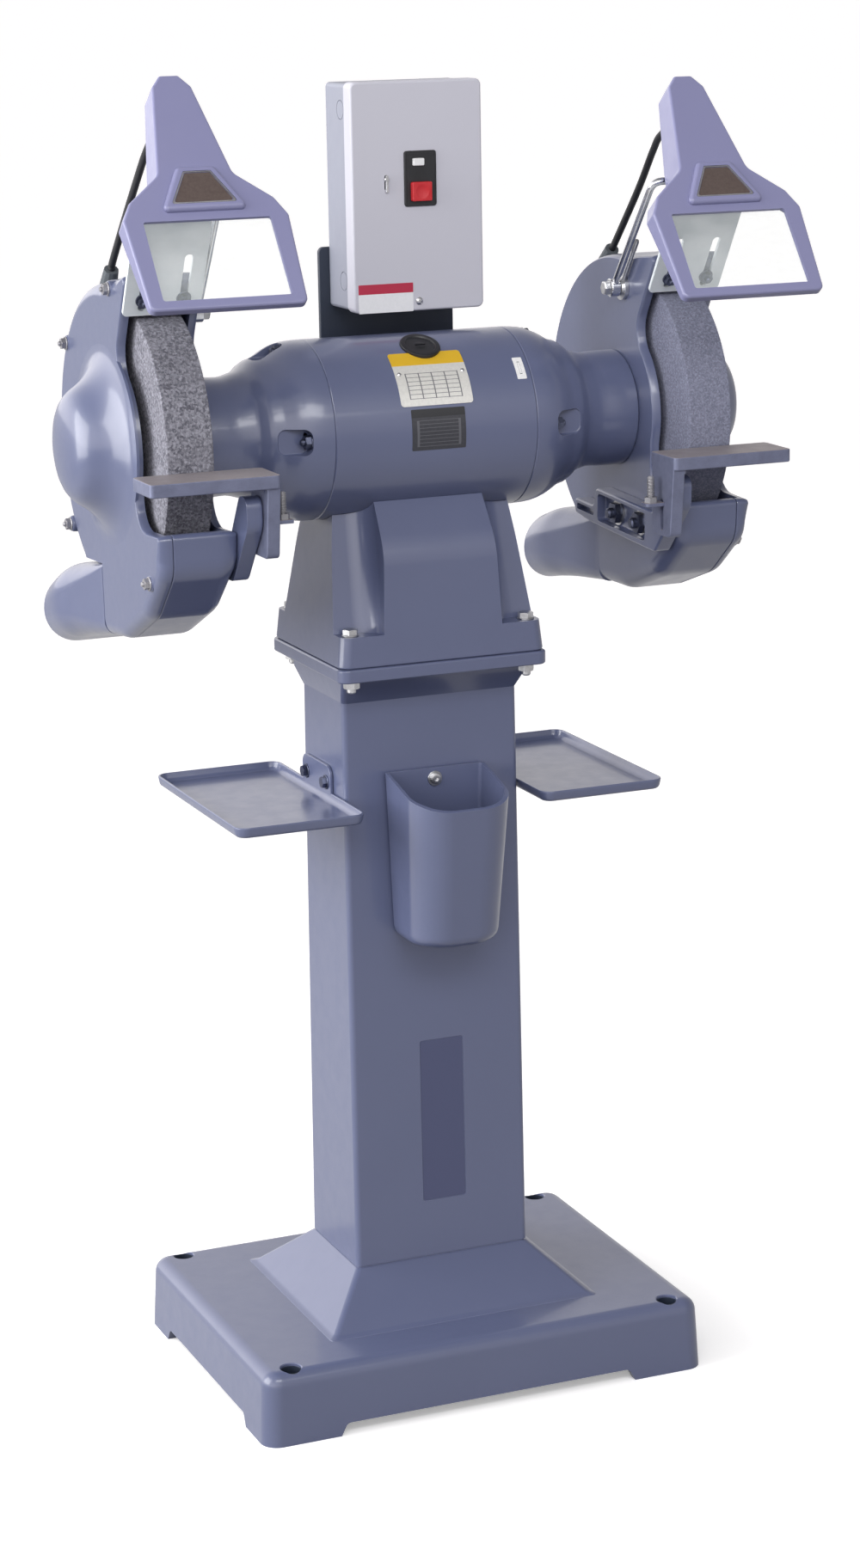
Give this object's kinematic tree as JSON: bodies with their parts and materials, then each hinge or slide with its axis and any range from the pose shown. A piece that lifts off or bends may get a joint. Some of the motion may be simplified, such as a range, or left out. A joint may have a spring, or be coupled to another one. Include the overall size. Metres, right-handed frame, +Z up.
{
  "type": "pedestal bench grinder",
  "caption": "Pedestal bench grinder: motor with a guarded wheel at each end, tool rests, tilting lamps, swarf trays, water pot and starter box on a hollow cast column.",
  "frame": {"origin": "on the floor, under the centre of the bounding box", "axes": "+X along the wheel shaft to the right as the operator sees it, +Y to the back of the machine, +Z up"},
  "size_m": [0.78, 0.4667, 1.464],
  "materials": {
    "blue_grey_paint": "semi-gloss hammer-free enamel",
    "lamp_paint": "satin enamel",
    "box_paint": "satin enamel",
    "bracket_paint": "satin enamel",
    "bright_steel": "brushed or zinc plated",
    "bare_steel": "milled, darkened with use",
    "chrome_rod": "polished",
    "abrasive_stone": "porous, speckled, matt",
    "copper_windings": "varnished windings on laminations",
    "black_plastic": "moulded",
    "white_plastic": "moulded",
    "red_plastic": "moulded",
    "clear_glass": "clear",
    "bulb_glass": "frosted",
    "cable_rubber": "smooth"
  },
  "bodies": {
    "stand": {"base_housing": "blue_grey_paint", "button_plate": "black_plastic", "contactor": "black_plastic", "flange_bolt_1": "bright_steel", "flange_bolt_2": "bright_steel", "flange_bolt_3": "bright_steel", "flange_bolt_4": "bright_steel", "left_bearing": "bright_steel", "left_cable_gland": "black_plastic", "left_end_bell": "blue_grey_paint", "left_guard_cover": "blue_grey_paint", "left_guard_housing": "blue_grey_paint", "left_lamp_cable": "cable_rubber", "left_lamp_clamp": "bright_steel", "left_rest_bracket": "blue_grey_paint", "left_tray": "blue_grey_paint", "motor_frame": "blue_grey_paint", "motor_plug": "black_plastic", "pedestal": "blue_grey_paint", "right_bearing": "bright_steel", "right_cable_gland": "black_plastic", "right_end_bell": "blue_grey_paint", "right_guard_cover": "blue_grey_paint", "right_guard_housing": "blue_grey_paint", "right_lamp_cable": "cable_rubber", "right_lamp_clamp": "bright_steel", "right_rest_bracket": "blue_grey_paint", "right_tray": "blue_grey_paint", "starter_box": "box_paint", "starter_bracket": "bracket_paint", "starter_cover": "box_paint", "stator_core": "copper_windings", "water_pot": "blue_grey_paint"},
    "rotor": {"shaft": "bright_steel", "rotor_core": "bare_steel", "left_wheel": "abrasive_stone", "right_wheel": "abrasive_stone", "left_inner_flange": "bare_steel", "left_outer_flange": "bare_steel", "right_inner_flange": "bare_steel", "right_outer_flange": "bare_steel", "left_spindle_nut": "bright_steel", "right_spindle_nut": "bright_steel"},
    "start_button": {"start_button": "white_plastic"},
    "stop_button": {"stop_button": "red_plastic"},
    "left_rest": {"left_rest": "bare_steel"},
    "right_rest": {"right_rest": "bare_steel"},
    "left_spark_plate": {"left_spark_plate": "bright_steel"},
    "right_spark_plate": {"right_spark_plate": "bright_steel"},
    "left_lamp_arm": {"left_lamp_arm": "chrome_rod"},
    "right_lamp_arm": {"right_lamp_arm": "chrome_rod"},
    "left_lamp_head": {"left_lamp_hood": "lamp_paint", "left_lamp_glass": "clear_glass", "left_lamp_bulb": "bulb_glass"},
    "right_lamp_head": {"right_lamp_hood": "lamp_paint", "right_lamp_glass": "clear_glass", "right_lamp_bulb": "bulb_glass"}
  },
  "joints": [
    {"name": "rotor_spin", "type": "hinge", "parent": "stand", "child": "rotor", "pos_m": [0, 0.03439, 1.0775], "axis": [1, 0, 0], "continuous": true},
    {"name": "start_press", "type": "slide", "parent": "stand", "child": "start_button", "axis": [0, 1, 0], "range_m": [0, 0.004], "stiffness_N_per_m": 300},
    {"name": "stop_press", "type": "slide", "parent": "stand", "child": "stop_button", "axis": [0, 1, 0], "range_m": [0, 0.004], "stiffness_N_per_m": 400},
    {"name": "left_rest_slide", "type": "slide", "parent": "stand", "child": "left_rest", "axis": [0, -1, 0], "range_m": [0, 0.02]},
    {"name": "left_spark_slide", "type": "slide", "parent": "stand", "child": "left_spark_plate", "axis": [0, -0.4602, 0.8878], "range_m": [-0.004, 0.004]},
    {"name": "left_lamp_arm_tilt", "type": "hinge", "parent": "stand", "child": "left_lamp_arm", "pos_m": [-0.242, 0.00939, 1.213], "axis": [1, 0, 0], "range_deg": [-12, 8], "deforming": ["left_lamp_cable"]},
    {"name": "left_lamp_head_tilt", "type": "hinge", "parent": "left_lamp_arm", "child": "left_lamp_head", "pos_m": [-0.287, -0.08467, 1.35244], "axis": [1, 0, 0], "range_deg": [-20, 10], "deforming": ["left_lamp_cable"]},
    {"name": "right_rest_slide", "type": "slide", "parent": "stand", "child": "right_rest", "axis": [0, -1, 0], "range_m": [0, 0.02]},
    {"name": "right_spark_slide", "type": "slide", "parent": "stand", "child": "right_spark_plate", "axis": [0, -0.5388, 0.8425], "range_m": [-0.004, 0.004]},
    {"name": "right_lamp_arm_tilt", "type": "hinge", "parent": "stand", "child": "right_lamp_arm", "pos_m": [0.242, 0.00939, 1.213], "axis": [1, 0, 0], "range_deg": [-12, 8], "deforming": ["right_lamp_cable"]},
    {"name": "right_lamp_head_tilt", "type": "hinge", "parent": "right_lamp_arm", "child": "right_lamp_head", "pos_m": [0.2904, -0.08917, 1.33394], "axis": [1, 0, 0], "range_deg": [-20, 10], "deforming": ["right_lamp_cable"]}
  ]
}
